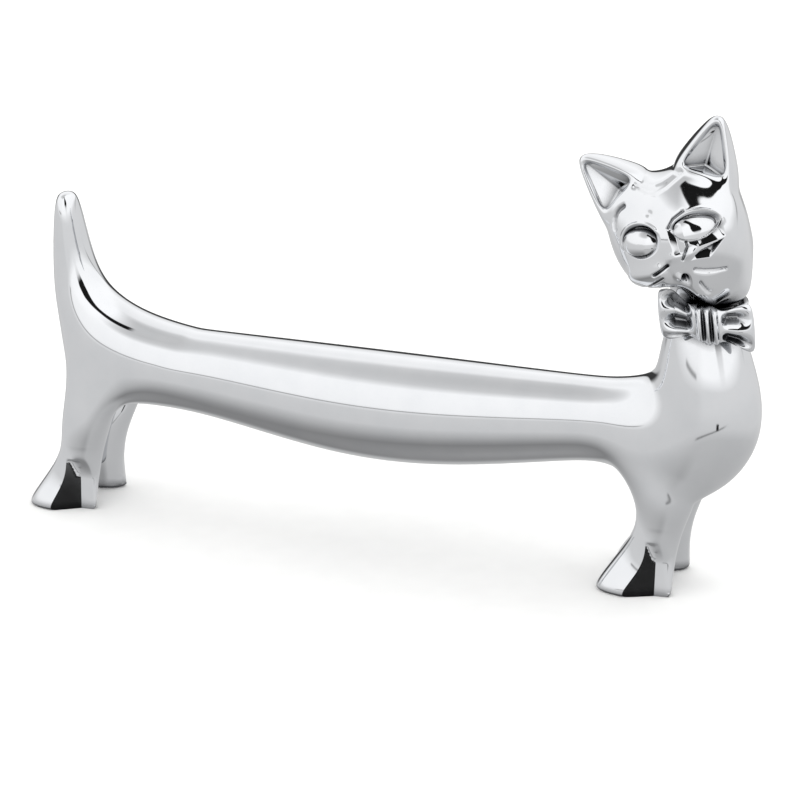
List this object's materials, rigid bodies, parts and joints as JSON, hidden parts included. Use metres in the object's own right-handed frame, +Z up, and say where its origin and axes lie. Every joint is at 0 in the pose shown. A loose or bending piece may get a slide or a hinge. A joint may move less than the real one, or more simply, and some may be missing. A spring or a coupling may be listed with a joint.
{
  "type": "chopstick rest",
  "caption": "Table rest in the shape of a long standing cat with an upright tail and a bow tie; sticks or handles lie across its level back.",
  "frame": {"origin": "on the table, below the middle of the object's box", "axes": "+X along the back towards the head, +Z up, the face looks towards -Y"},
  "size_m": [0.0982, 0.0172, 0.0597],
  "materials": {
    "chrome_plate": "zinc alloy casting, mirror polished and chrome plated",
    "dowel_steel": "bare ground steel pin"
  },
  "bodies": {
    "root": {"body_casting": "chrome_plate", "head_casting": "chrome_plate", "bow_tie": "chrome_plate", "neck_dowel": "dowel_steel"}
  },
  "joints": []
}
